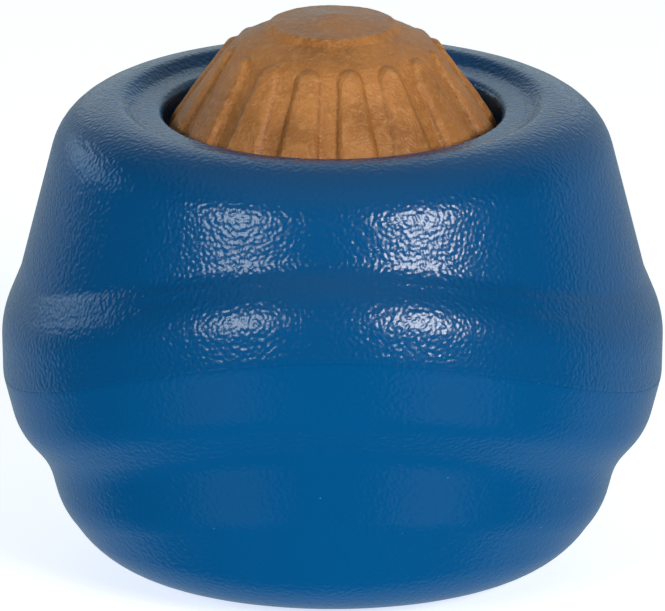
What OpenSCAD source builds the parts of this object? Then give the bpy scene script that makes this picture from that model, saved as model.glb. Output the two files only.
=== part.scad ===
// Treat ball: a hollow moulded ball with a wavy waist, and a fluted dome treat held in its mouth.
// Millimetres, +Z up, origin at the middle of the flat base, front at -Y.
// The waist is lifted at the front and the back, and is lowest at the two sides.

/* [Rim and mouth] */
// Height of the rim's crest above the base
rim_h = 92.8; // [90:0.1:98]
// Width of the valley, from the lip out to the inner edge of the crest
valley_w = 2; // [1:0.1:4]
// Rounding of the crest's inner edge
crest_round = 2.6; // [1:0.1:4]
// Depth of the valley between the crest and the lip
valley_depth = 1.8; // [1:0.1:3]
// Radius of the mouth
mouth_r = 32.4; // [30:0.1:33]
// Width of the soft lip, from the mouth out to the valley
lip_w = 4.4; // [3.8:0.1:5]
// Thickness of the soft lip
lip_t = 6.3; // [4:0.1:8]
// Radius of the rounded bead on the lip's inner edge
lip_bead_r = 1.6; // [0.8:0.1:2]

/* [Shoulder] */
// Radius where the rim's level meets the slope of the neck, before rounding
shoulder_r = 51.2; // [48:0.1:54]
// Rounding of the shoulder
shoulder_round = 13; // [8:0.5:16]

/* [Neck crease] */
// Radius of the crease between the neck and the bulge
crease_r = 60; // [57:0.1:61]
// Height of the crease at the sides
crease_h = 58.2; // [56:0.1:60]
// Rounding of the crease
crease_round = 9.5; // [6:0.1:20]
// How much higher the crease lies at the front and the back
crease_rise = 17.8; // [14:0.1:19]

/* [Bulge] */
// Radius of the bulge at its top corner
bulge_r = 63.5; // [62:0.1:66]
// Height of the bulge's top corner at the sides
bulge_h = 49.7; // [47:0.1:52]
// Rounding of the bulge's top corner
bulge_round = 16.5; // [4:0.1:20]
// How much higher the bulge's top corner lies at the front and the back
bulge_rise = 20.8; // [16:0.1:22]
// How much nearer the axis the bulge's top corner lies at the front and the back
bulge_draw = 2.3; // [0:0.1:4]

/* [Parting line] */
// How much nearer the axis the parting line's corner lies than the bulge's top corner
seam_inset = 0.2; // [0:0.1:1]
// Height of the parting line's corner at the sides
seam_h = 38.9; // [37:0.1:42]
// Rounding of the parting line's corner
seam_round = 8; // [2:0.5:12]
// How much higher the parting line lies at the front and the back
seam_rise = 21; // [16:0.5:22]
// Inner radius of the tongue on the lower shell
tongue_r = 53; // [51:0.1:54]
// Thickness of the tongue
tongue_t = 3.4; // [2:0.1:4]
// Height of the tongue
tongue_h = 3; // [1:0.1:4]
// Clearance of the tongue in its groove
tongue_gap = 0.15; // [0.05:0.05:0.4]

/* [Lower cone] */
// Radius at the lower end of the cone under the parting line
cone_r = 60.7; // [59:0.1:62]
// Height of the cone's lower end at the sides
cone_h = 28.6; // [27:0.1:31]
// Rounding of the cone's lower end
cone_round = 14.5; // [4:0.5:18]
// How much higher the cone's lower end lies at the front and the back
cone_rise = 19; // [15:0.5:21]

/* [Lower groove] */
// Radius of the groove under the cone
groove_r = 54.8; // [53.5:0.1:57]
// Height of the groove at the sides
groove_h = 21.9; // [20:0.1:24]
// Rounding of the groove
groove_round = 14; // [4:0.5:18]
// How much higher the groove lies at the front and the back
groove_rise = 16.5; // [13:0.5:18]

/* [Heel and base] */
// Radius of the heel
heel_r = 52.4; // [50:0.1:53]
// Height of the heel at the sides
heel_h = 12.8; // [11:0.1:15]
// Rounding of the heel
heel_round = 17; // [8:0.5:24]
// How much higher the heel lies at the front and the back
heel_rise = 12; // [8:0.5:14]
// Radius of the foot, between the heel and the base
foot_r = 43.9; // [40:0.1:46]
// Height of the foot at the sides
foot_h = 2.3; // [1.5:0.1:4]
// Rounding of the foot
foot_round = 20.5; // [8:0.5:26]
// How much higher the foot lies at the front and the back
foot_rise = 2.6; // [0:0.1:4]
// Radius of the flat base
base_r = 28.9; // [22:0.1:34]

/* [Hollow] */
// Radius of the hollow
hollow_r = 47; // [40:0.5:48]
// Thickness of the floor
floor_t = 8; // [5:0.5:12]
// Rounding between the floor and the wall of the hollow
hollow_floor_round = 24; // [12:0.5:28]
// Rounding between the wall and the ceiling of the hollow
hollow_top_round = 13; // [6:0.5:15]
// Thickness of the ledge that the treat rests on
ledge_t = 5; // [3:0.1:7]
// Width of that ledge
ledge_w = 7; // [4:0.1:9]

/* [Treat] */
// Height of the treat
treat_h = 32.2; // [30:0.1:35]
// How far the flange reaches out under the lip
flange_reach = 2.7; // [1.5:0.1:3]
// Thickness of the flange
flange_t = 6.6; // [4:0.1:8]
// Rounding of the flange's edges
flange_round = 1.4; // [0.5:0.1:1.8]
// Gap between the treat and the mouth
throat_gap = 0.5; // [0.3:0.05:1]
// Gap between the flange and the seat around it
seat_gap = 0.5; // [0.3:0.05:1]
// Gap between the flange and the lip above it
lip_gap = 0.4; // [0.3:0.05:1]
// Height of the flank's foot above the treat's underside
flank_foot_h = 9.4; // [8:0.1:13]
// Rounding of the flank's foot
flank_foot_round = 5; // [1:0.5:8]
// Radius of the crown's edge, between the flutes
crown_r = 19.4; // [18:0.1:22]
// Height of the crown's edge above the treat's underside
crown_h = 26.4; // [24:0.1:27]
// Rounding of the crown's edge
crown_round = 7; // [2:0.5:9]
// Radius of the round pad on the top
pad_r = 12.6; // [10:0.1:14]
// Height of the pad's rounded step
pad_t = 1.3; // [0.8:0.1:2]
// Fall from the middle of the pad to its edge
pad_fall = 1.6; // [0.8:0.1:2]
// Number of flutes round the dome
flute_count = 16; // [12:1:18]
// Thickness that a flute stands proud of the dome
flute_t = 1.2; // [0.6:0.1:1.6]
// Width of a flute at its arched top
flute_top_w = 4.4; // [3:0.1:5]
// Width of a flute at the mouth
flute_foot_w = 8.4; // [6:0.1:8.6]
// Turn of the first flute from the front, in degrees
flute_turn = 9.4; // [0:0.1:22]

/* [Hidden] */
$fn = 96;
ball_blue = "#05558C";
lip_blue = "#0B5F98";
baked_brown = "#A8733F";

// Steps round the wavy skin, and along each rounded corner. The corner steps are even.
turn_steps = 72;
corner_steps = 4;
turn_step = 360 / turn_steps;
// How far a cutter passes the face that it opens
past = 1;

// Heights of the mouth's parts, from the rim down
lip_top = rim_h - valley_depth;
lip_bottom = lip_top - lip_t;
flange_top = lip_bottom - lip_gap;
ledge_top = flange_top - flange_t;
hollow_top = ledge_top - ledge_t;

// Radii of the mouth's parts
lip_r = mouth_r + lip_w;
crest_r = lip_r + valley_w;
flange_r = mouth_r + flange_reach;
seat_r = flange_r + seat_gap;
ledge_r = flange_r - ledge_w;
throat_r = mouth_r - throat_gap;
// The shells are swept round a core that the hollow then takes away
core_r = ledge_r / 2;

// The crease stays on the neck's plain cone, so it lies nearer the axis where it is higher
crease_draw = crease_rise * (crease_r - shoulder_r) / (rim_h - crease_h);
// Corners of the ball's outline from the base up: radius, height at the sides, rounding, and at the front
// their rise and how much nearer the axis they lie
lower_corners = [
    [foot_r, foot_h, foot_round, foot_rise, 0],
    [heel_r, heel_h, heel_round, heel_rise, 0],
    [groove_r, groove_h, groove_round, groove_rise, 0],
    [cone_r, cone_h, cone_round, cone_rise, 0]
];
seam_corner = [bulge_r - seam_inset, seam_h, seam_round, seam_rise, 0];
upper_corners = [
    [bulge_r, bulge_h, bulge_round, bulge_rise, bulge_draw],
    [crease_r, crease_h, crease_round, crease_rise, crease_draw],
    [shoulder_r, rim_h, shoulder_round, 0, 0],
    [crest_r, rim_h, crest_round, 0, 0]
];
base_edge = [base_r, 0, 0, 0, 0];
// The slope inside the crest runs on to the mouth, and the lip's seat then cuts it at the valley
crest_end = [mouth_r, rim_h - (crest_r - mouth_r) * valley_depth / valley_w, 0, 0, 0];
outline_corners = concat([base_edge], lower_corners, [seam_corner], upper_corners, [crest_end]);
seam_index = len(lower_corners) + 1;

function unit(v) = v / norm(v);
function flat(lists) = [for (list = lists) for (item = list) item];
function reversed(list) = [for (i = [len(list) - 1 : -1 : 0]) list[i]];

// Half of the angle between the two sides at corner i of a path
function half_angle(path, i) =
    acos(unit(path[i - 1] - path[i]) * unit(path[i + 1] - path[i])) / 2;

// Length of side that the rounding of corner i asks for
function wanted(path, radii, i) =
    i == 0 || i == len(path) - 1 ? 0 : radii[i] / tan(half_angle(path, i));

// Two roundings share a side that is too short for both
function shared(side, mine, other) = mine + other > side ? side * mine / (mine + other) : mine;

// Length of side that the rounding of corner i gets
function reach(path, radii, i) =
    let (mine = wanted(path, radii, i))
    min(
        shared(norm(path[i] - path[i - 1]), mine, wanted(path, radii, i - 1)),
        shared(norm(path[i + 1] - path[i]), mine, wanted(path, radii, i + 1))
    );

// Arc that rounds corner i of a path
function rounded(path, radii, i) =
    let (to_last = unit(path[i - 1] - path[i]))
    let (to_next = unit(path[i + 1] - path[i]))
    let (half = half_angle(path, i))
    let (run = reach(path, radii, i))
    let (middle = path[i] + unit(to_last + to_next) * run / cos(half))
    let (start = path[i] + to_last * run - middle)
    let (end = path[i] + to_next * run - middle)
    let (sweep = 180 - 2 * half)
    [for (k = [0 : corner_steps])
        let (t = k / corner_steps)
        middle + (start * sin(sweep * (1 - t)) + end * sin(sweep * t)) / sin(sweep)];

// A corner's radius and height at one turn round the ball, where 0 is the front
function lifted(corner, turn) =
    let (lift = pow(cos(turn), 2))
    [corner[0] - corner[4] * lift, corner[1] + corner[3] * lift];

// The arc at one corner of the ball's outline
outline_rounds = [for (corner = outline_corners) corner[2]];
function outline_arc(index, turn) =
    rounded([for (corner = outline_corners) lifted(corner, turn)], outline_rounds, index);

// Edges of the groove for the tongue, which both shells' faces at the parting line share
groove_inner = tongue_r - tongue_gap;
groove_outer = tongue_r + tongue_t + tongue_gap;

// Outline of the lower shell at one turn: core, tongue, half of the parting corner, heel, base
function lower_outline(turn) =
    let (seam_arc = outline_arc(seam_index, turn))
    let (seam_z = seam_arc[corner_steps / 2][1])
    concat(
        [
            [core_r, seam_z],
            [groove_inner, seam_z],
            [tongue_r, seam_z],
            [tongue_r, seam_z + tongue_h],
            [tongue_r + tongue_t, seam_z + tongue_h],
            [tongue_r + tongue_t, seam_z],
            [groove_outer, seam_z]
        ],
        [for (i = [corner_steps / 2 : -1 : 0]) seam_arc[i]],
        flat([for (i = [seam_index - 1 : -1 : 1]) reversed(outline_arc(i, turn))]),
        [lifted(base_edge, turn)]
    );

// Outline of the upper shell at one turn: core, groove for the tongue, bulge, neck, shoulder, crest
function upper_outline(turn) =
    let (seam_arc = outline_arc(seam_index, turn))
    let (seam_z = seam_arc[corner_steps / 2][1])
    let (groove_top = seam_z + tongue_h + tongue_gap)
    concat(
        [
            [core_r, seam_z],
            [groove_inner, seam_z],
            [groove_inner, groove_top],
            [groove_outer, groove_top],
            [groove_outer, seam_z]
        ],
        [for (i = [corner_steps / 2 : corner_steps]) seam_arc[i]],
        flat([for (i = [seam_index + 1 : len(outline_corners) - 2]) outline_arc(i, turn)]),
        [lifted(crest_end, turn)]
    );

// Closed skin through one outline for each turn, with a middle point at each end. Both shells run from
// the parting line, so that their facets match there, and the faces of the one that runs down are turned.
module swept(outlines, seam_z, far_z, down = false) {
    rows = len(outlines[0]);
    skin = [for (j = [0 : turn_steps - 1]) for (p = outlines[j])
        [p[0] * sin(j * turn_step), -p[0] * cos(j * turn_step), p[1]]];
    seam_point = len(skin);
    far_point = seam_point + 1;
    walls = [for (j = [0 : turn_steps - 1]) for (i = [0 : rows - 2])
        let (here = j * rows + i)
        let (beside = ((j + 1) % turn_steps) * rows + i)
        each [[here, here + 1, beside + 1], [here, beside + 1, beside]]];
    seam_fan = [for (j = [0 : turn_steps - 1])
        [seam_point, j * rows, ((j + 1) % turn_steps) * rows]];
    far_fan = [for (j = [0 : turn_steps - 1])
        [(j + 1) * rows - 1, far_point, ((j + 1) % turn_steps + 1) * rows - 1]];
    faces = concat(walls, seam_fan, far_fan);
    polyhedron(
        points = concat(skin, [[0, 0, seam_z], [0, 0, far_z]]),
        faces = down ? [for (face = faces) reversed(face)] : faces
    );
}

// The hollow for loose kibble: a barrel with a rounded floor and ceiling
module hollow() {
    waist = floor_t + hollow_floor_round;
    rotate_extrude() {
        translate([0, floor_t])
            square([hollow_r - hollow_floor_round, hollow_floor_round]);
        translate([hollow_r - hollow_floor_round, waist])
            intersection() {
                circle(hollow_floor_round);
                translate([0, -hollow_floor_round])
                    square(hollow_floor_round);
            }
        translate([0, waist])
            square([hollow_r, hollow_top - hollow_top_round - waist]);
        translate([0, hollow_top - hollow_top_round])
            square([hollow_r - hollow_top_round, hollow_top_round]);
        translate([hollow_r - hollow_top_round, hollow_top - hollow_top_round])
            intersection() {
                circle(hollow_top_round);
                square(hollow_top_round);
            }
    }
}

// Stepped opening of the mouth: the hole inside the ledge, the flange's seat and the lip's seat
module mouth_opening() {
    steps = [[ledge_r, hollow_top - past], [seat_r, ledge_top], [lip_r, lip_bottom]];
    for (step = steps)
        translate([0, 0, step[1]])
            cylinder(r = step[0], h = rim_h + past - step[1]);
}

// Height of the parting line halfway between the sides and the front
seam_middle = seam_h + seam_rise / 2;

// Upper half of the ball, from the parting line to the crest of the rim
module upper_shell() {
    color(ball_blue)
        difference() {
            swept([for (j = [0 : turn_steps - 1]) upper_outline(j * turn_step)], seam_middle, crest_end[1]);
            hollow();
            mouth_opening();
        }
}

// Lower half of the ball, from the flat base to the parting line and its tongue
module lower_shell() {
    color(ball_blue)
        difference() {
            swept([for (j = [0 : turn_steps - 1]) lower_outline(j * turn_step)], seam_middle, 0, down = true);
            hollow();
        }
}

// Soft lip round the mouth: flat on top, with a round bead at its inner edge
module retaining_lip() {
    color(lip_blue)
        rotate_extrude() {
            translate([mouth_r + lip_bead_r, lip_bottom])
                square([lip_w - lip_bead_r, lip_t]);
            translate([mouth_r, lip_bottom])
                square([lip_bead_r, lip_t - lip_bead_r]);
            translate([mouth_r + lip_bead_r, lip_top - lip_bead_r])
                circle(lip_bead_r);
        }
}

// Corners of the dome between the flutes, from the top out and down: radius, height, rounding
dome_corners = [
    [0, ledge_top + treat_h, 0],
    [pad_r - pad_t / 2, ledge_top + treat_h - pad_fall, pad_t / 2],
    [pad_r + pad_t / 2, ledge_top + treat_h - pad_fall - pad_t, pad_t / 2],
    [crown_r, ledge_top + crown_h, crown_round],
    [throat_r - flute_t, ledge_top + flank_foot_h, flank_foot_round],
    [throat_r - flute_t, flange_top - flange_t / 2, 0]
];

// A path moved outwards by a distance, square to its sides
function outward(a, b) = unit([a[1] - b[1], b[0] - a[0]]);
function grown(path, distance) =
    [for (i = [0 : len(path) - 1])
        let (before = outward(path[max(i - 1, 0)], path[max(i, 1)]))
        let (after = outward(path[min(i, len(path) - 2)], path[min(i + 1, len(path) - 1)]))
        let (move = (before + after) * distance / (1 + before * after))
        [path[i][0] + move[0], path[i][1] + move[1], path[i][2]]];

// A path with its inner corners rounded
function smooth(path) =
    let (corners = [for (p = path) [p[0], p[1]]])
    let (radii = [for (p = path) p[2]])
    concat(
        [corners[0]],
        flat([for (i = [1 : len(path) - 2]) rounded(corners, radii, i)]),
        [corners[len(path) - 1]]
    );

// Solid of revolution under a smooth path
module turned(path) {
    outline = smooth(path);
    lowest = outline[len(outline) - 1][1];
    rotate_extrude()
        polygon(concat([[0, lowest]], [for (p = outline) [max(p[0], 0), p[1]]]));
}

// Plan of the flutes: each widens from a round arch near the crown to the mouth
module flute_plan() {
    top_r = crown_r + flute_top_w / 2;
    for (i = [0 : flute_count - 1])
        rotate(flute_turn - 90 + i * 360 / flute_count) {
            polygon([
                [top_r, -flute_top_w / 2],
                [throat_r, -flute_foot_w / 2],
                [throat_r + past, -flute_foot_w / 2],
                [throat_r + past, flute_foot_w / 2],
                [throat_r, flute_foot_w / 2],
                [top_r, flute_top_w / 2]
            ]);
            translate([top_r, 0])
                circle(d = flute_top_w);
        }
}

// Baked treat: a domed crown with flutes, on a flange that the lip holds down
module treat() {
    color(baked_brown) {
        turned(dome_corners);
        intersection() {
            turned(grown(dome_corners, flute_t));
            translate([0, 0, flange_top - flange_t / 2])
                linear_extrude(treat_h)
                    flute_plan();
        }
        rotate_extrude() {
            translate([0, ledge_top])
                square([flange_r - flange_round, flange_t]);
            translate([0, ledge_top + flange_round])
                square([flange_r, flange_t - 2 * flange_round]);
            for (z = [ledge_top + flange_round, flange_top - flange_round])
                translate([flange_r - flange_round, z])
                    circle(flange_round);
        }
    }
}

upper_shell();
lower_shell();
retaining_lip();
treat();
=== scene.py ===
"""Treat ball: a hollow moulded ball with a wavy waist, and a fluted baked treat held in its mouth.

Every piece is built in metres in the part's own frame: +Z up, the front at -Y, the base at height 0.
The file is laid out as an add-on and is run as a script.
"""

import math

import bpy
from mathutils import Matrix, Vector


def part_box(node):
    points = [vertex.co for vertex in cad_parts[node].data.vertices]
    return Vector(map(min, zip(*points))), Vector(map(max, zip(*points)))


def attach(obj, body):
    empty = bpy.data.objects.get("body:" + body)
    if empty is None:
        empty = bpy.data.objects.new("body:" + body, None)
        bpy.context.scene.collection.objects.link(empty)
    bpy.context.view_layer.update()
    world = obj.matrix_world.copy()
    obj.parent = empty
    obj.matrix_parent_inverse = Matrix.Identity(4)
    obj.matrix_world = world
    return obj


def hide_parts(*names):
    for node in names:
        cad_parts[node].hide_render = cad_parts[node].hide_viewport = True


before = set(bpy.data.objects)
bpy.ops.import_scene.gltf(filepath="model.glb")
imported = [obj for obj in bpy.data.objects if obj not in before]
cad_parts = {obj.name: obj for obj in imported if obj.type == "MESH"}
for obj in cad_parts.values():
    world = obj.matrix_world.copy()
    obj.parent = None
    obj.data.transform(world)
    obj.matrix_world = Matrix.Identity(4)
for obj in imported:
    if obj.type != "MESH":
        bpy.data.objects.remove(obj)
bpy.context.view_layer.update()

bl_info = {
    "name": "Treat ball",
    "version": (1, 0, 0),
    "blender": (4, 5, 0),
    "location": "View3D > Sidebar > Treat ball",
    "description": "Builds a moulded treat ball with a wavy waist and the fluted treat in its mouth",
    "category": "Add Mesh",
}

MM = 0.001
RIM_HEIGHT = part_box("upper_shell")[1].z
LIP_LOW, LIP_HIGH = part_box("retaining_lip")
TREAT_LOW, TREAT_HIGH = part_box("treat")

# Steps along each rounded corner, an even number, and round the axis
CORNER_STEPS = 10
SHELL_TURNS = 360
TREAT_TURNS = 440
MERGE_DISTANCE = 0.002 * MM
SHARP_ANGLE = math.radians(40)


def linear(hex_colour):
    """Turns an sRGB hex colour into linear red, green and blue."""
    channels = [int(hex_colour[i : i + 2], 16) / 255 for i in (1, 3, 5)]
    return [c / 12.92 if c <= 0.04045 else ((c + 0.055) / 1.055) ** 2.4 for c in channels]


def length(name, description, millimetres):
    """A length as a property, given in millimetres and kept in metres."""
    return bpy.props.FloatProperty(
        name=name, description=description, default=millimetres * MM, unit="LENGTH", precision=4
    )


def angle(name, description, degrees):
    """An angle as a property, given in degrees and kept in radians."""
    return bpy.props.FloatProperty(
        name=name, description=description, default=math.radians(degrees), unit="ROTATION"
    )


def share(name, description, default):
    """A share of a whole as a property."""
    return bpy.props.FloatProperty(
        name=name, description=description, default=default, subtype="FACTOR", min=0.0, max=1.0
    )


def amount(name, description, default):
    """A plain amount as a property."""
    return bpy.props.FloatProperty(name=name, description=description, default=default, min=0.0)


def corner(name, place, radius, height, rounding, rise, draw=0.0):
    """A corner of the ball's outline as one property, given in millimetres and kept in metres."""
    return bpy.props.FloatVectorProperty(
        name=name,
        description=place + ": radius and height at the sides, rounding, rise and draw at the front",
        default=[value * MM for value in (radius, height, rounding, rise, draw)],
        size=5,
        unit="LENGTH",
        precision=4,
    )


def colour(name, description, hex_colour):
    """A colour as a property, given as sRGB hex and kept as linear light."""
    return bpy.props.FloatVectorProperty(
        name=name,
        description=description,
        default=linear(hex_colour),
        size=3,
        subtype="COLOR",
        min=0.0,
        max=1.0,
    )


class BallSizes(bpy.types.PropertyGroup):
    """Sizes of the moulded ball"""

    base_radius: length("Base radius", "Radius of the flat base", 28.9)
    foot: corner("Foot", "Corner between the base and the heel", 43.9, 2.3, 20.5, 2.6)
    heel: corner("Heel", "Corner of the heel", 52.4, 12.8, 17, 12)
    groove: corner("Lower groove", "Groove under the cone", 54.8, 21.9, 14, 16.5)
    cone: corner("Cone", "Lower end of the cone", 60.7, 28.6, 14.5, 19)
    seam: corner("Parting line", "Corner that carries the parting line", 63.3, 38.9, 8, 21)
    bulge: corner("Bulge", "Top corner of the bulge", 63.5, 49.7, 16.5, 20.8, 2.3)
    crease: corner("Neck crease", "Crease between neck and bulge", 60, 58.2, 9.5, 17.8, 4.53)
    shoulder: corner("Shoulder", "Rounded shoulder", 51.2, RIM_HEIGHT / MM, 13, 0)
    crest: corner("Crest", "Inner edge of the rim's crest", 40.5, RIM_HEIGHT / MM, 3, 0)
    valley_foot: length("Valley foot", "Width of the valley's level foot beside the lip", 1.0)
    valley_round: length("Valley rounding", "Rounding at the foot of the valley", 2.6)
    lip_width: length("Lip width", "Width of the soft lip", 4.4)
    lip_bead: length("Lip bead", "Rounding of the lip's inner edge", 1.6)
    lip_under_round: length("Lip underside", "Rounding under the lip's inner edge", 0.5)
    seat_radius: length("Seat radius", "Radius of the seat round the treat's flange", 35.6)
    ledge_radius: length("Ledge radius", "Radius of the hole inside the ledge", 28.1)
    ledge_thickness: length("Ledge", "Thickness of the ledge under the treat", 5)
    hollow_radius: length("Hollow radius", "Radius of the hollow for loose kibble", 47)
    hollow_top_round: length("Ceiling rounding", "Rounding of the hollow's ceiling", 13)
    hollow_floor_round: length("Floor rounding", "Rounding of the hollow's floor", 24)
    floor_thickness: length("Floor", "Thickness of the floor", 8)
    parting_edge: length("Parting edge", "Worn edge of the upper half at the parting line", 0.06)
    waves: bpy.props.IntProperty(
        name="Waves", description="How many times the waist rises round the ball", default=2, min=1
    )


class TreatSizes(bpy.types.PropertyGroup):
    """Sizes of the baked treat"""

    flange_thickness: length("Flange", "Thickness of the flange under the lip", 6.6)
    flange_round: length("Flange rounding", "Rounding of the flange's edges", 1.4)
    neck_radius: length("Neck radius", "Radius of the dome at the mouth, between the flutes", 30.7)
    neck_height: length("Neck height", "Height of the neck above the underside", 9.4)
    neck_round: length("Neck rounding", "Rounding between the neck and the flank", 5)
    crown_radius: length("Crown radius", "Radius of the crown's edge", 19.4)
    crown_height: length("Crown height", "Height of the crown's edge above the underside", 26.4)
    crown_round: length("Crown rounding", "Rounding of the crown's edge", 7)
    pad_radius: length("Pad radius", "Radius of the round pad on the top", 12.6)
    pad_step: length("Pad step", "Height of the pad's rounded step", 1.3)
    pad_fall: length("Pad fall", "Fall from the middle of the pad to its edge", 1.6)
    flute_count: bpy.props.IntProperty(
        name="Flutes", description="Number of flutes round the dome", default=16, min=3
    )
    flute_height: length("Flute height", "How far a flute stands proud of the dome", 1.2)
    flute_top_width: length("Flute top", "Width of a flute at its arched top", 4.4)
    flute_foot_width: length("Flute foot", "Width of a flute at the mouth", 8.4)
    flute_edge: length("Flute edge", "Half of the width of a flute's worn edge", 0.75)
    flute_fade: length("Flute fade", "Length over which a flute grows to its full height", 5)
    flute_arch_share: share("Arch share", "Share of a flute's height that is left at its arch", 0.65)
    flute_rise: length("Flute rise", "Height above the flange at which the flutes are whole", 1)
    flute_turn: angle("Flute turn", "Turn of the first flute from the front", 9.4)
    lump_size: length("Lumps", "Size of the dough's soft lumps", 5)
    lump_depth: length("Lump depth", "Depth of the hollows between the lumps", 0.35)
    crumb_size: length("Crumbs", "Size of the crumbs at the surface", 1.5)
    crumb_depth: length("Crumb depth", "Depth of the hollows between the crumbs", 0.12)
    pit_spacing: length("Pit spacing", "Spacing of the small baked pits", 7)
    pit_radius: length("Pit radius", "Radius of a baked pit", 0.7)
    pit_depth: length("Pit depth", "Depth of a baked pit", 0.5)


class Finishes(bpy.types.PropertyGroup):
    """Colours and surface sizes of the rubber and the dough"""

    blue: colour("Blue", "Blue of the rubber, right through", "#024D81")
    streak_size: length("Streak size", "Width of the flow streaks of the melt", 14)
    streak_shade: share("Streak shade", "Brightness of a flow streak against the blue", 0.92)
    speck: colour("Speck", "Fine pale lint that clings to the surface", "#6F9DBF")
    speck_spacing: length("Speck spacing", "Spacing of the specks of lint", 6)
    speck_radius: length("Speck radius", "Radius of a speck of lint", 0.12)
    peel_size: length("Peel size", "Size of the orange-peel cells", 0.8)
    peel_depth: length("Peel depth", "Depth of the orange-peel cells", 0.145)
    crust: colour("Crust", "Baked crust of the treat", "#C37F42")
    # The darker bake colour also serves as painted shade in the recesses at the foot of each flute
    crust_dark_and_recess_shade: colour("Crust dark", "Darker bake in the recesses", "#7D4A20")
    crumb: colour("Crumb", "Pale crumbs at the surface", "#D79A5A")
    patch_size: length("Patch size", "Width of the patches of darker bake", 9)
    crumb_size: length("Crumb size", "Size of the pale crumbs", 1.4)
    crumb_relief: length("Crumb relief", "Height of the pale crumbs", 0.25)
    grain_size: length("Grain size", "Size of the fine grain", 0.55)
    grain_relief: length("Grain relief", "Height of the fine grain", 0.3)
    # The dark line is painted shade, drawn in the recess at the foot of each flute
    shade_line_place: length("Line place", "How far outside a flute's edge its dark line runs", 0.35)
    shade_line_reach: length("Line reach", "How far from its middle the dark line has faded out", 0.5)
    shade_line_core: length("Line core", "How far from its middle the dark line is whole", 0.1)
    shade_line_share: share("Line shade", "Share of the darker bake in the line", 0.6)


class StageSettings(bpy.types.PropertyGroup):
    """Camera, floor, room and studio lights"""

    camera_distance: length("Camera distance", "From the ball to the camera", 2000)
    camera_elevation: angle("Camera elevation", "Height of the camera above the horizon", 17.7)
    camera_pivot: length("Pivot height", "Height that the camera's distance is measured from", 45)
    camera_aim: length("Aim height", "Height at the middle of the picture", 51.5)
    lens: amount("Lens", "Focal length in millimetres on a 36 mm sensor", 563.5)
    floor_size: length("Floor size", "Side of the square floor", 6000)
    floor_colour: colour("Floor", "Pale floor", "#F4F4F4")
    floor_glow: amount("Floor glow", "Light that the floor gives off by itself", 0.66)
    bounce_drop: length("Bounce drop", "Depth of the bounce lamp under the floor", 100)
    bounce: amount("Bounce", "Brightness of the light that the floor throws up", 1.26)
    room_tint: colour("Room tint", "Tint of the room's dim light", "#E7FAFF")
    light_distance: length("Light distance", "From the ball to the soft boxes", 1100)


class TreatBallSettings(bpy.types.PropertyGroup):
    """Everything that the operators read"""

    ball: bpy.props.PointerProperty(type=BallSizes)
    treat: bpy.props.PointerProperty(type=TreatSizes)
    finishes: bpy.props.PointerProperty(type=Finishes)
    stage: bpy.props.PointerProperty(type=StageSettings)


def pick(sockets, key):
    """The socket in use with that name or number, or the first one in use where neither is given."""
    used = [socket for socket in sockets if socket.enabled]
    if isinstance(key, int):
        return used[key]
    return next(socket for socket in used if key in (None, socket.name))


def add(tree, kind, inputs=None, output=None, **settings):
    """Adds a node with its settings, sets or links its inputs, and returns one output."""
    node = tree.nodes.new(kind)
    for name, value in settings.items():
        setattr(node, name, value)
    for key, value in (inputs or {}).items():
        socket = pick(node.inputs, key)
        if isinstance(value, bpy.types.NodeSocket):
            tree.links.new(value, socket)
        else:
            socket.default_value = value
    return pick(node.outputs, output) if node.outputs else None


def arcs(corners):
    """The arc at each inner corner of a path of (radius, height, rounding) corners.

    Two roundings share a side that is too short for both.
    """
    points = [Vector(c[:2]) for c in corners]
    last = len(points) - 1
    to_last = [(points[i - 1] - points[i]).normalized() for i in range(1, last)]
    to_next = [(points[i + 1] - points[i]).normalized() for i in range(1, last)]
    halves = [a.angle(b) / 2 for a, b in zip(to_last, to_next)]
    wanted = [0.0] + [corners[i + 1][2] / math.tan(half) for i, half in enumerate(halves)] + [0.0]
    made = []
    for i in range(1, last):
        runs = [wanted[i]]
        for other in (i - 1, i + 1):
            side = (points[other] - points[i]).length
            asked = wanted[i] + wanted[other]
            runs.append(wanted[i] * min(1.0, side / asked) if asked else 0.0)
        run = min(runs)
        if run == 0.0:
            made.append([points[i]])
            continue
        half = halves[i - 1]
        middle = points[i] + (to_last[i - 1] + to_next[i - 1]).normalized() * run / math.cos(half)
        start = points[i] + to_last[i - 1] * run - middle
        end = points[i] + to_next[i - 1] * run - middle
        sweep = math.pi - 2 * half
        arc = []
        for step in range(CORNER_STEPS + 1):
            turned = sweep * step / CORNER_STEPS
            arm = start * math.sin(sweep - turned) + end * math.sin(turned)
            arc.append(middle + arm / math.sin(sweep))
        made.append(arc)
    return made


def flat(lists):
    """One list out of several."""
    return [item for items in lists for item in items]


def smooth(corners):
    """A path with its inner corners rounded."""
    return [Vector(corners[0][:2])] + flat(arcs(corners)) + [Vector(corners[-1][:2])]


def spaced(path, longest):
    """A path with its long sides divided, so that no step is longer than asked."""
    points = [path[0]]
    for start, end in zip(path, path[1:]):
        count = max(1, math.ceil((end - start).length / longest))
        points += [start.lerp(end, k / count) for k in range(1, count + 1)]
    return points


SKIN_CORNERS = ("foot", "heel", "groove", "cone", "seam", "bulge", "crease", "shoulder", "crest")
SEAM = SKIN_CORNERS.index("seam")


def skin_arcs(ball, lift):
    """The ball's outer skin from the base to the valley beside the lip, one arc for each corner.

    Lift is 0 at the sides and 1 at the front.
    """
    corners = [(ball.base_radius, 0.0, 0.0)]
    for name in SKIN_CORNERS:
        radius, height, rounding, rise, draw = getattr(ball, name)
        corners.append((radius - draw * lift, height + rise * lift, rounding))
    corners.append((LIP_HIGH.x + ball.valley_foot, LIP_HIGH.z, ball.valley_round))
    corners.append((LIP_HIGH.x, LIP_HIGH.z, 0.0))
    return arcs(corners)


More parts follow.
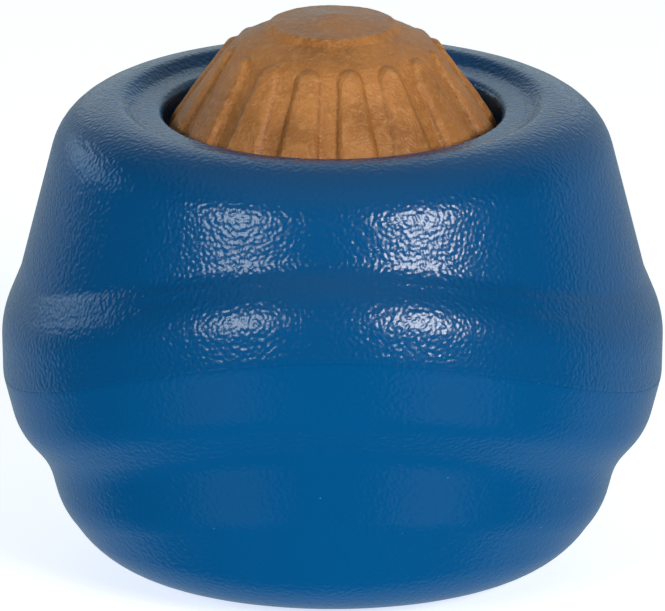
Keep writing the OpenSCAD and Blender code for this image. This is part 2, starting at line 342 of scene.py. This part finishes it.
def lower_outline(ball, lift):
    """Outline of the lower half: base, heel, parting edge, hollow's wall and floor."""
    skin = skin_arcs(ball, lift)
    half = CORNER_STEPS // 2
    parting = skin[SEAM][half]
    hollow = smooth(
        [
            (ball.hollow_radius, parting.y, 0.0),
            (ball.hollow_radius, ball.floor_thickness, ball.hollow_floor_round),
            (0.0, ball.floor_thickness, 0.0),
        ]
    )
    base = [Vector((0.0, 0.0)), Vector((ball.base_radius, 0.0))]
    return base + flat(skin[:SEAM]) + skin[SEAM][: half + 1] + hollow


def upper_outline(ball, lift):
    """Outline of the upper half: worn parting edge, bulge, neck, rim, mouth and hollow's ceiling."""
    skin = skin_arcs(ball, lift)
    half = CORNER_STEPS // 2
    parting = skin[SEAM][half]
    ledge_top = TREAT_LOW.z
    hollow_top = ledge_top - ball.ledge_thickness
    mouth = smooth(
        [
            (LIP_HIGH.x, LIP_HIGH.z, 0.0),
            (LIP_HIGH.x, LIP_LOW.z, 0.0),
            (ball.seat_radius, LIP_LOW.z, 0.0),
            (ball.seat_radius, ledge_top, 0.0),
            (ball.ledge_radius, ledge_top, 0.0),
            (ball.ledge_radius, hollow_top, 0.0),
            (ball.hollow_radius, hollow_top, ball.hollow_top_round),
            (ball.hollow_radius, parting.y, 0.0),
        ]
    )
    edge = [Vector((parting.x - ball.parting_edge, parting.y))]
    return edge + skin[SEAM][half + 1 :] + flat(skin[SEAM + 1 :]) + mouth + edge


def lip_outline(ball):
    """Outline of the soft lip: flat top, round bead at the mouth, underside."""
    mouth_radius = LIP_HIGH.x - ball.lip_width
    return smooth(
        [
            (LIP_HIGH.x, LIP_HIGH.z, 0.0),
            (mouth_radius, LIP_HIGH.z, ball.lip_bead),
            (mouth_radius, LIP_LOW.z, ball.lip_under_round),
            (LIP_HIGH.x, LIP_LOW.z, 0.0),
            (LIP_HIGH.x, LIP_HIGH.z, 0.0),
        ]
    )


def treat_outline(treat):
    """Outline of the treat between its flutes: underside, flange, neck, flank, crown and pad."""
    underside, top = TREAT_LOW.z, TREAT_HIGH.z
    flange_top = underside + treat.flange_thickness
    pad_edge = treat.pad_step / 2
    foot = smooth(
        [
            (0.0, underside, 0.0),
            (TREAT_HIGH.x, underside, treat.flange_round),
            (TREAT_HIGH.x, flange_top, treat.flange_round),
            (treat.neck_radius, flange_top, 0.0),
        ]
    )
    dome = smooth(
        [
            (treat.neck_radius, flange_top, 0.0),
            (treat.neck_radius, underside + treat.neck_height, treat.neck_round),
            (treat.crown_radius, underside + treat.crown_height, treat.crown_round),
            (treat.pad_radius + pad_edge, top - treat.pad_fall - treat.pad_step, pad_edge),
            (treat.pad_radius - pad_edge, top - treat.pad_fall, pad_edge),
            (0.0, top, 0.0),
        ]
    )
    return spaced(foot, treat.crumb_size) + spaced(dome, treat.crumb_size / 4)[1:]


def outline_object(name, side, front):
    """An object that holds an outline at the sides, with its place at the front as an attribute."""
    mesh = bpy.data.meshes.new(name)
    mesh.from_pydata([(p.x, 0.0, p.y) for p in side], [(i, i + 1) for i in range(len(side) - 1)], [])
    places = mesh.attributes.new("front", "FLOAT_VECTOR", "POINT")
    places.data.foreach_set("vector", flat((p.x, 0.0, p.y) for p in front))
    made = bpy.data.objects.new(name, mesh)
    bpy.context.scene.collection.objects.link(made)
    return made


def new_tree(name, sockets):
    """A Geometry Nodes tree with a geometry input and output and its named inputs."""
    tree = bpy.data.node_groups.new(name, "GeometryNodeTree")
    tree.interface.new_socket("Geometry", in_out="OUTPUT", socket_type="NodeSocketGeometry")
    tree.interface.new_socket("Geometry", in_out="INPUT", socket_type="NodeSocketGeometry")
    for socket_name, socket_type in sockets.items():
        tree.interface.new_socket(socket_name, in_out="INPUT", socket_type=socket_type)
    return tree, tree.nodes.new("NodeGroupInput").outputs


def loft_nodes(tree, outline, turns, waves):
    """Nodes that carry an outline round the axis, between its places at the sides and the front."""
    rows = add(tree, "GeometryNodeAttributeDomainSize", {"Geometry": outline}, "Point Count")
    columns = add(tree, "ShaderNodeMath", {0: turns, 1: 1.0}, operation="ADD")
    grid = add(tree, "GeometryNodeMeshGrid", {"Vertices X": rows, "Vertices Y": columns}, "Mesh")
    index = add(tree, "GeometryNodeInputIndex")
    row_share = add(tree, "ShaderNodeMath", {0: index, 1: columns}, operation="DIVIDE")
    row = add(tree, "ShaderNodeMath", {0: row_share}, operation="FLOOR")
    column = add(tree, "ShaderNodeMath", {0: index, 1: columns}, operation="MODULO")
    step = add(tree, "ShaderNodeMath", {0: 2 * math.pi, 1: turns}, operation="DIVIDE")
    turn = add(tree, "ShaderNodeMath", {0: column, 1: step}, operation="MULTIPLY")
    sampled = []
    for place in (
        add(tree, "GeometryNodeInputPosition"),
        add(tree, "GeometryNodeInputNamedAttribute", {"Name": "front"}, data_type="FLOAT_VECTOR"),
    ):
        sampled.append(
            add(
                tree,
                "GeometryNodeSampleIndex",
                {"Geometry": outline, "Value": place, "Index": row},
                data_type="FLOAT_VECTOR",
            )
        )
    wave_turn = add(tree, "ShaderNodeMath", {0: turn, 1: waves}, operation="MULTIPLY")
    wave = add(tree, "ShaderNodeMath", {0: wave_turn}, operation="COSINE")
    lift = add(tree, "ShaderNodeMapRange", {"Value": wave, "From Min": 1.0, "From Max": -1.0})
    point = add(
        tree,
        "ShaderNodeMix",
        {"Factor": lift, "A": sampled[0], "B": sampled[1]},
        data_type="VECTOR",
    )
    place = add(
        tree,
        "ShaderNodeVectorRotate",
        {"Vector": point, "Angle": turn},
        rotation_type="Z_AXIS",
        invert=True,
    )
    lofted = add(tree, "GeometryNodeSetPosition", {"Geometry": grid, "Position": place})
    return add(tree, "GeometryNodeMergeByDistance", {"Geometry": lofted, "Distance": MERGE_DISTANCE})


def end_nodes(tree, mesh, material):
    """Smooth shading and a material on the finished mesh, as the tree's output."""
    smoothed = add(tree, "GeometryNodeSetShadeSmooth", {"Geometry": mesh})
    realized = add(tree, "GeometryNodeRealizeInstances", {"Geometry": smoothed})
    coated = add(tree, "GeometryNodeSetMaterial", {"Geometry": realized, "Material": material})
    add(tree, "NodeGroupOutput", {"Geometry": coated})


def loft_tree():
    """Carries an outline round the axis on a wave, for the shells and the lip."""
    tree, given = new_tree(
        "Wavy loft",
        {"Turns": "NodeSocketInt", "Waves": "NodeSocketInt", "Material": "NodeSocketMaterial"},
    )
    mesh = loft_nodes(tree, given["Geometry"], given["Turns"], given["Waves"])
    end_nodes(tree, mesh, given["Material"])
    return tree


def flute_distance(tree, given):
    """Nodes for the distance outside the nearest flute's edge, and for its growth, both in plan.

    The growth goes from the share of a flute's height at its arch to 1.
    """
    place = add(tree, "GeometryNodeInputPosition")
    x = add(tree, "ShaderNodeSeparateXYZ", {"Vector": place}, "X")
    to_front = add(tree, "ShaderNodeMath", {0: x.node.outputs["Y"], 1: -1.0}, operation="MULTIPLY")
    turn = add(tree, "ShaderNodeMath", {0: x, 1: to_front}, operation="ARCTAN2")
    from_first = add(tree, "ShaderNodeMath", {0: turn, 1: given["Flute Turn"]}, operation="SUBTRACT")
    half_pitch = add(tree, "ShaderNodeMath", {0: math.pi, 1: given["Flutes"]}, operation="DIVIDE")
    aside = add(tree, "ShaderNodeMath", {0: from_first, 1: half_pitch}, operation="PINGPONG")
    plan = add(tree, "ShaderNodeVectorMath", {0: place, 1: (1.0, 1.0, 0.0)}, operation="MULTIPLY")
    radius = add(tree, "ShaderNodeVectorMath", {0: plan}, "Value", operation="LENGTH")
    sine = add(tree, "ShaderNodeMath", {0: aside}, operation="SINE")
    cosine = add(tree, "ShaderNodeMath", {0: aside}, operation="COSINE")
    across = add(tree, "ShaderNodeMath", {0: radius, 1: sine}, operation="MULTIPLY")
    along = add(tree, "ShaderNodeMath", {0: radius, 1: cosine}, operation="MULTIPLY")
    past_arch = add(tree, "ShaderNodeMath", {0: along, 1: given["Arch Radius"]}, operation="SUBTRACT")
    in_arch = add(tree, "ShaderNodeMath", {0: past_arch, 1: 0.0}, operation="MINIMUM")
    half_width = add(
        tree,
        "ShaderNodeMapRange",
        {
            "Value": along,
            "From Min": given["Arch Radius"],
            "From Max": given["Foot Radius"],
            "To Min": given["Top Half Width"],
            "To Max": given["Foot Half Width"],
        },
    )
    from_middle = add(tree, "ShaderNodeCombineXYZ", {"X": across, "Y": in_arch})
    reach = add(tree, "ShaderNodeVectorMath", {0: from_middle}, "Value", operation="LENGTH")
    outside = add(tree, "ShaderNodeMath", {0: reach, 1: half_width}, operation="SUBTRACT")
    grown_at = add(
        tree, "ShaderNodeMath", {0: given["Arch Radius"], 1: given["Flute Fade"]}, operation="ADD"
    )
    growth = add(
        tree,
        "ShaderNodeMapRange",
        {
            "Value": along,
            "From Min": given["Arch Radius"],
            "From Max": grown_at,
            "To Min": given["Arch Share"],
        },
    )
    return outside, growth


def treat_tree():
    """Turns the treat's outline, raises its flutes, and roughens it as baked dough."""
    numbers = (
        "Arch Radius",
        "Foot Radius",
        "Top Half Width",
        "Foot Half Width",
        "Flute Height",
        "Flute Edge",
        "Flute Fade",
        "Arch Share",
        "Flute Turn",
        "Flange Top",
        "Flutes Whole",
        "Lump Size",
        "Lump Depth",
        "Crumb Size",
        "Crumb Depth",
        "Pit Spacing",
        "Pit Radius",
        "Pit Depth",
    )
    sockets = {"Turns": "NodeSocketInt", "Flutes": "NodeSocketInt", "Material": "NodeSocketMaterial"}
    sockets.update((name, "NodeSocketFloat") for name in numbers)
    tree, given = new_tree("Fluted treat", sockets)
    mesh = loft_nodes(tree, given["Geometry"], given["Turns"], 0.0)

    outside, growth = flute_distance(tree, given)
    inside_edge = add(tree, "ShaderNodeMath", {0: given["Flute Edge"], 1: -1.0}, operation="MULTIPLY")
    raised = add(
        tree,
        "ShaderNodeMapRange",
        {
            "Value": outside,
            "From Min": given["Flute Edge"],
            "From Max": inside_edge,
            "To Max": given["Flute Height"],
        },
        interpolation_type="SMOOTHSTEP",
    )
    place = add(tree, "GeometryNodeInputPosition")
    height = add(tree, "ShaderNodeSeparateXYZ", {"Vector": place}, "Z")
    above_flange = add(
        tree,
        "ShaderNodeMapRange",
        {"Value": height, "From Min": given["Flange Top"], "From Max": given["Flutes Whole"]},
    )
    grown = add(tree, "ShaderNodeMath", {0: raised, 1: growth}, operation="MULTIPLY")
    flute = add(tree, "ShaderNodeMath", {0: grown, 1: above_flange}, operation="MULTIPLY")

    # The dough's material paints shade along the foot of each flute from these
    marked = mesh
    for name, value in (("flute_distance", outside), ("flute_growth", growth)):
        marked = add(
            tree,
            "GeometryNodeStoreNamedAttribute",
            {"Geometry": marked, "Name": name, "Value": value},
            data_type="FLOAT",
        )

    # Lumps, crumbs and pits all sink below the moulded shape
    sunk = flute
    for size, depth in (("Lump Size", "Lump Depth"), ("Crumb Size", "Crumb Depth")):
        scale = add(tree, "ShaderNodeMath", {0: 1.0, 1: given[size]}, operation="DIVIDE")
        hollows = add(tree, "ShaderNodeTexNoise", {"Vector": place, "Scale": scale, "Detail": 2.0})
        dip = add(tree, "ShaderNodeMath", {0: hollows, 1: given[depth]}, operation="MULTIPLY")
        sunk = add(tree, "ShaderNodeMath", {0: sunk, 1: dip}, operation="SUBTRACT")
    pit_scale = add(tree, "ShaderNodeMath", {0: 1.0, 1: given["Pit Spacing"]}, operation="DIVIDE")
    pit_reach = add(
        tree, "ShaderNodeMath", {0: given["Pit Radius"], 1: pit_scale}, operation="MULTIPLY"
    )
    from_pit = add(tree, "ShaderNodeTexVoronoi", {"Vector": place, "Scale": pit_scale}, "Distance")
    pit = add(
        tree,
        "ShaderNodeMapRange",
        {"Value": from_pit, "From Min": pit_reach, "From Max": 0.0, "To Max": given["Pit Depth"]},
        interpolation_type="SMOOTHSTEP",
    )
    sunk = add(tree, "ShaderNodeMath", {0: sunk, 1: pit}, operation="SUBTRACT")
    offset = add(
        tree,
        "ShaderNodeVectorMath",
        {0: add(tree, "GeometryNodeInputNormal"), "Scale": sunk},
        operation="SCALE",
    )
    baked = add(tree, "GeometryNodeSetPosition", {"Geometry": marked, "Offset": offset})
    end_nodes(tree, baked, given["Material"])
    return tree


def finish_piece(made, tree, values, body, node):
    """Turns a tree's result into a plain mesh that rides on a body and stands for a CAD node."""
    modifier = made.modifiers.new(tree.name, "NODES")
    modifier.node_group = tree
    for item in tree.interface.items_tree:
        if item.name in values:
            modifier[item.identifier] = values[item.name]
    depsgraph = bpy.context.evaluated_depsgraph_get()
    outline = made.data
    made.data = bpy.data.meshes.new_from_object(made.evaluated_get(depsgraph), depsgraph=depsgraph)
    made.modifiers.remove(modifier)
    bpy.data.meshes.remove(outline)
    made.data.set_sharp_from_angle(angle=SHARP_ANGLE)
    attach(made, body)
    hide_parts(node)


def new_material(name):
    """An empty material, its node tree, and a node for the place on the piece."""
    material = bpy.data.materials.new(name)
    material.use_nodes = True
    tree = material.node_tree
    tree.nodes.clear()
    return material, tree, add(tree, "ShaderNodeTexCoord", output="Object")


def elastomer(finishes, name, peel_divisor, roughness, specular):
    """Thermoplastic rubber, injection moulded in a spark-eroded mould.

    The mould's orange peel breaks each reflection of a lamp into short bright worms, and the colour
    runs through the material, so there is no wear. A little pale lint clings to it.
    """
    material, tree, place = new_material(name)
    streak = add(
        tree,
        "ShaderNodeTexNoise",
        {"Vector": place, "Scale": 1 / finishes.streak_size, "Detail": 3.0},
    )
    streak_blue = [finishes.streak_shade * channel for channel in finishes.blue]
    body = add(
        tree,
        "ShaderNodeMix",
        {"Factor": streak, "A": (*streak_blue, 1.0), "B": (*finishes.blue, 1.0)},
        "Result",
        data_type="RGBA",
    )

    # One speck of lint in each cell
    cell = finishes.speck_spacing
    from_speck = add(tree, "ShaderNodeTexVoronoi", {"Vector": place, "Scale": 1 / cell}, "Distance")
    speck_edge = finishes.speck_radius / cell
    speck = add(
        tree,
        "ShaderNodeMapRange",
        {"Value": from_speck, "From Min": speck_edge, "From Max": speck_edge / 2},
    )
    base = add(
        tree,
        "ShaderNodeMix",
        {"Factor": speck, "A": body, "B": (*finishes.speck, 1.0)},
        "Result",
        data_type="RGBA",
    )

    peel = add(
        tree,
        "ShaderNodeTexNoise",
        {"Vector": place, "Scale": 1 / finishes.peel_size, "Detail": 0.0},
    )
    peel_depth = finishes.peel_depth / peel_divisor
    bump = add(tree, "ShaderNodeBump", {"Height": peel, "Distance": peel_depth, "Strength": 1.0})
    surface = add(
        tree,
        "ShaderNodeBsdfPrincipled",
        {"Base Color": base, "Roughness": roughness, "Specular IOR Level": specular, "Normal": bump},
    )
    add(tree, "ShaderNodeOutputMaterial", {"Surface": surface})
    return material


# Noise where each tone of the dough begins and where it is whole, and its share there
DARK_BAKE = {"From Min": 0.62, "From Max": 0.3, "To Max": 0.5}
PALE_CRUMB = {"From Min": 0.48, "From Max": 0.78, "To Max": 0.7}
PALE_GRAIN = {"From Min": 0.56, "From Max": 0.74, "To Max": 0.6}
# Noise where the glaze is glossiest and where it is dullest, and its roughness at each
GLAZE = {"From Min": 0.3, "From Max": 0.7, "To Min": 0.28, "To Max": 0.46}


def baked_dough(finishes):
    """Pressed and baked dough with a thin glaze of its own starch.

    It is mottled by the bake, with painted shade at each flute's foot, pale crumbs, and glints where
    it is smooth.
    """
    material, tree, place = new_material("baked dough")
    patch, crumb, grain = [
        add(tree, "ShaderNodeTexNoise", {"Vector": place, "Scale": 1 / size, "Detail": detail})
        for size, detail in (
            (finishes.patch_size, 4.0),
            (finishes.crumb_size, 5.0),
            (finishes.grain_size, 2.0),
        )
    ]
    dark = add(tree, "ShaderNodeMapRange", {"Value": patch, **DARK_BAKE})

    # Painted shade: a dark line at the foot of each flute, where shade falls in the recess
    outside = add(tree, "ShaderNodeAttribute", {}, "Fac", attribute_name="flute_distance")
    from_shade_line = add(tree, "ShaderNodeMath", {0: outside, 1: finishes.shade_line_place}, operation="SUBTRACT")
    shade_line_distance = add(tree, "ShaderNodeMath", {0: from_shade_line}, operation="ABSOLUTE")
    groove = add(
        tree,
        "ShaderNodeMapRange",
        {
            "Value": shade_line_distance,
            "From Min": finishes.shade_line_reach,
            "From Max": finishes.shade_line_core,
            "To Max": finishes.shade_line_share,
        },
        interpolation_type="SMOOTHSTEP",
    )
    growth = add(tree, "ShaderNodeAttribute", {}, "Fac", attribute_name="flute_growth")
    line = add(tree, "ShaderNodeMath", {0: groove, 1: growth}, operation="MULTIPLY")
    # Random patches of darker bake together with the painted shade line
    shade = add(tree, "ShaderNodeMath", {0: dark, 1: line}, operation="MAXIMUM")
    crust = add(
        tree,
        "ShaderNodeMix",
        {"Factor": shade, "A": (*finishes.crust, 1.0), "B": (*finishes.crust_dark_and_recess_shade, 1.0)},
        "Result",
        data_type="RGBA",
    )

    pale_crumb = add(tree, "ShaderNodeMapRange", {"Value": crumb, **PALE_CRUMB})
    pale_grain = add(tree, "ShaderNodeMapRange", {"Value": grain, **PALE_GRAIN})
    pale = add(tree, "ShaderNodeMath", {0: pale_crumb, 1: pale_grain}, operation="MAXIMUM")
    base = add(
        tree,
        "ShaderNodeMix",
        {"Factor": pale, "A": crust, "B": (*finishes.crumb, 1.0)},
        "Result",
        data_type="RGBA",
    )

    crumb_bump = add(
        tree,
        "ShaderNodeBump",
        {"Height": crumb, "Distance": finishes.crumb_relief, "Strength": 0.8},
    )
    bump = add(
        tree,
        "ShaderNodeBump",
        {"Height": grain, "Distance": finishes.grain_relief, "Strength": 0.9, "Normal": crumb_bump},
    )
    gloss = add(tree, "ShaderNodeMapRange", {"Value": patch, **GLAZE})
    surface = add(
        tree,
        "ShaderNodeBsdfPrincipled",
        {"Base Color": base, "Roughness": gloss, "Specular IOR Level": 0.36, "Normal": bump},
    )
    add(tree, "ShaderNodeOutputMaterial", {"Surface": surface})
    return material


def from_front(azimuth, elevation):
    """Direction from the ball for angles in radians: azimuth 0 is the front, a quarter turn is +X."""
    level = math.cos(elevation)
    return Vector((math.sin(azimuth) * level, -math.cos(azimuth) * level, math.sin(elevation)))


class TREATBALL_OT_stage(bpy.types.Operator):
    """Makes the camera, the pale floor and the soft studio lights"""

    bl_idname = "treat_ball.stage"
    bl_label = "Stage"

    # Name, azimuth and elevation in degrees, width and height in metres, watts, colour
    LAMPS = (
        ("soft box right", 36, 24, 0.42, 0.34, 6.6, "#FFFFFF"),
        ("soft box left", -38, 24, 0.42, 0.34, 3.3, "#F8FFFF"),
        ("left window", -124, 18, 0.75, 0.38, 0.9, "#C4E4FF"),
    )

    # Name, direction from the ball, cosines where each pale surface fades in and is whole, brightness
    ROOM = (
        ("back wall", (0.15, 0.95, -0.25), 0.2, 0.5, 0.38),
        ("back panel", (0.0, 0.95, 0.31), 0.9, 0.97, 0.42),
        ("ceiling", (0.0, 0.0, 1.0), 0.6, 0.95, 0.3),
        ("light pool right", (0.51, -0.57, -0.64), 0.955, 0.985, 0.42),
        ("light pool left", (-0.51, -0.57, -0.64), 0.955, 0.985, 0.3),
    )
    ROOM_DIMMEST = 0.02

    def execute(self, context):
        stage = context.scene.treat_ball.stage
        self.make_camera(context.scene, stage)
        self.make_floor(context.scene, stage)
        self.make_bounce(context.scene, stage)
        for lamp in self.LAMPS:
            self.make_lamp(context.scene, stage, *lamp)
        self.make_room(context.scene, stage)
        context.scene.view_settings.view_transform = "Standard"
        return {"FINISHED"}

    def make_camera(self, scene, stage):
        """A camera with a long lens, a little above the ball."""
        pivot = Vector((0.0, 0.0, stage.camera_pivot))
        data = bpy.data.cameras.new("camera")
        data.lens = stage.lens
        data.clip_end = stage.floor_size
        camera = bpy.data.objects.new("camera", data)
        camera.location = pivot + from_front(0.0, stage.camera_elevation) * stage.camera_distance
        aim = Vector((0.0, 0.0, stage.camera_aim)) - camera.location
        camera.rotation_euler = aim.to_track_quat("-Z", "Y").to_euler()
        scene.collection.objects.link(camera)
        scene.camera = camera

    def make_floor(self, scene, stage):
        """A white paper floor that only the camera sees. The bounce lamp shines up through it."""
        side = stage.floor_size / 2
        corners = [(-side, -side, 0.0), (side, -side, 0.0), (side, side, 0.0), (-side, side, 0.0)]
        mesh = bpy.data.meshes.new("floor")
        mesh.from_pydata(corners, [], [(0, 1, 2, 3)])
        material = bpy.data.materials.new("matt paper")
        material.use_nodes = True
        paper = material.node_tree.nodes["Principled BSDF"]
        paper.inputs["Base Color"].default_value = (*stage.floor_colour, 1.0)
        paper.inputs["Roughness"].default_value = 0.9
        paper.inputs["Emission Color"].default_value = (1.0, 1.0, 1.0, 1.0)
        paper.inputs["Emission Strength"].default_value = stage.floor_glow
        mesh.materials.append(material)
        floor = bpy.data.objects.new("floor", mesh)
        floor.visible_diffuse = False
        floor.visible_glossy = False
        floor.visible_shadow = False
        scene.collection.objects.link(floor)

    def make_bounce(self, scene, stage):
        """A level lamp for the light that the floor throws up, which no gloss mirrors."""
        data = bpy.data.lights.new("floor bounce", "AREA")
        data.size = stage.floor_size
        data.energy = stage.bounce * math.pi * stage.floor_size**2
        # Otherwise some of the rays that hit the lamp would still carry its mirror image
        data.cycles.use_multiple_importance_sampling = False
        bounce = bpy.data.objects.new("floor bounce", data)
        bounce.location.z = -stage.bounce_drop
        bounce.rotation_euler.x = math.pi
        bounce.visible_camera = False
        bounce.visible_glossy = False
        scene.collection.objects.link(bounce)

    def make_room(self, scene, stage):
        """A dim room with a few pale surfaces, whose sheen follows the ball's edges and its rim."""
        world = bpy.data.worlds.new("studio room")
        world.use_nodes = True
        tree = world.node_tree
        tree.nodes.clear()
        direction = add(tree, "ShaderNodeTexCoord", output="Generated")
        strength = self.ROOM_DIMMEST
        for _name, towards, edge, full, brightness in self.ROOM:
            towards = Vector(towards).normalized()
            cosine = add(
                tree,
                "ShaderNodeVectorMath",
                {0: direction, 1: towards},
                "Value",
                operation="DOT_PRODUCT",
            )
            patch = add(
                tree,
                "ShaderNodeMapRange",
                {"Value": cosine, "From Min": edge, "From Max": full, "To Max": brightness},
                interpolation_type="SMOOTHSTEP",
            )
            strength = add(tree, "ShaderNodeMath", {0: patch, 1: strength}, operation="ADD")
        tint = (*stage.room_tint, 1.0)
        light = add(tree, "ShaderNodeBackground", {"Color": tint, "Strength": strength})
        add(tree, "ShaderNodeOutputWorld", {"Surface": light})
        scene.world = world

    def make_lamp(self, scene, stage, name, azimuth, elevation, width, height, watts, hex_colour):
        """An oval soft box that faces the ball."""
        data = bpy.data.lights.new(name, "AREA")
        data.shape = "ELLIPSE"
        data.size = width
        data.size_y = height
        data.energy = watts
        data.color = linear(hex_colour)
        lamp = bpy.data.objects.new(name, data)
        towards = from_front(math.radians(azimuth), math.radians(elevation))
        lamp.location = towards * stage.light_distance
        lamp.rotation_euler = (-towards).to_track_quat("-Z", "Y").to_euler()
        scene.collection.objects.link(lamp)


class TREATBALL_OT_shells(bpy.types.Operator):
    """Makes the ball's upper and lower halves and the soft lip"""

    bl_idname = "treat_ball.shells"
    bl_label = "Ball"

    # Name, how many times shallower the orange peel is, roughness, specular level
    RUBBERS = (
        ("moulded rubber, orange peel", 1.0, 0.22, 0.48),
        ("moulded rubber, satin", 1.5, 0.2, 0.3),
        ("soft rubber, matt", 1.3, 0.26, 0.65),
    )

    def execute(self, context):
        settings = context.scene.treat_ball
        ball = settings.ball
        peeled, satin, soft = [elastomer(settings.finishes, *rubber) for rubber in self.RUBBERS]
        lip = lip_outline(ball)
        pieces = (
            ("ball_upper", "upper_shell", upper_outline(ball, 0.0), upper_outline(ball, 1.0), peeled),
            ("ball_lower", "lower_shell", lower_outline(ball, 0.0), lower_outline(ball, 1.0), satin),
            ("soft_lip", "retaining_lip", lip, lip, soft),
        )
        tree = loft_tree()
        for name, node, side, front, material in pieces:
            values = {"Turns": SHELL_TURNS, "Waves": ball.waves, "Material": material}
            made = outline_object(name, side, front)
            finish_piece(made, tree, values, "ball", node)
        return {"FINISHED"}


class TREATBALL_OT_treat(bpy.types.Operator):
    """Makes the fluted baked treat"""

    bl_idname = "treat_ball.treat"
    bl_label = "Treat"

    def execute(self, context):
        settings = context.scene.treat_ball
        treat = settings.treat
        flange_top = TREAT_LOW.z + treat.flange_thickness
        values = {
            "Turns": TREAT_TURNS,
            "Flutes": treat.flute_count,
            "Material": baked_dough(settings.finishes),
            "Arch Radius": treat.crown_radius + treat.flute_top_width / 2,
            "Foot Radius": treat.neck_radius + treat.flute_height,
            "Top Half Width": treat.flute_top_width / 2,
            "Foot Half Width": treat.flute_foot_width / 2,
            "Flute Height": treat.flute_height,
            "Flute Edge": treat.flute_edge,
            "Flute Fade": treat.flute_fade,
            "Arch Share": treat.flute_arch_share,
            "Flute Turn": treat.flute_turn,
            "Flange Top": flange_top,
            "Flutes Whole": flange_top + treat.flute_rise,
            "Lump Size": treat.lump_size,
            "Lump Depth": treat.lump_depth,
            "Crumb Size": treat.crumb_size,
            "Crumb Depth": treat.crumb_depth,
            "Pit Spacing": treat.pit_spacing,
            "Pit Radius": treat.pit_radius,
            "Pit Depth": treat.pit_depth,
        }
        outline = treat_outline(treat)
        made = outline_object("baked_treat", outline, outline)
        finish_piece(made, treat_tree(), values, "treat", "treat")
        return {"FINISHED"}


class TREATBALL_PT_sidebar(bpy.types.Panel):
    """Lists the operators that build the treat ball"""

    bl_idname = "TREATBALL_PT_sidebar"
    bl_label = "Treat ball"
    bl_space_type = "VIEW_3D"
    bl_region_type = "UI"
    bl_category = "Treat ball"

    def draw(self, context):
        for operator in OPERATORS:
            self.layout.operator(operator.bl_idname)


OPERATORS = (TREATBALL_OT_stage, TREATBALL_OT_shells, TREATBALL_OT_treat)
GROUPS = (BallSizes, TreatSizes, Finishes, StageSettings, TreatBallSettings)
CLASSES = GROUPS + OPERATORS + (TREATBALL_PT_sidebar,)


def register():
    for cls in CLASSES:
        bpy.utils.register_class(cls)
    bpy.types.Scene.treat_ball = bpy.props.PointerProperty(type=TreatBallSettings)


def unregister():
    del bpy.types.Scene.treat_ball
    for cls in reversed(CLASSES):
        bpy.utils.unregister_class(cls)


def main():
    """Builds the stage and every piece."""
    register()
    bpy.ops.treat_ball.stage()
    bpy.ops.treat_ball.shells()
    bpy.ops.treat_ball.treat()


if __name__ == "__main__":
    main()
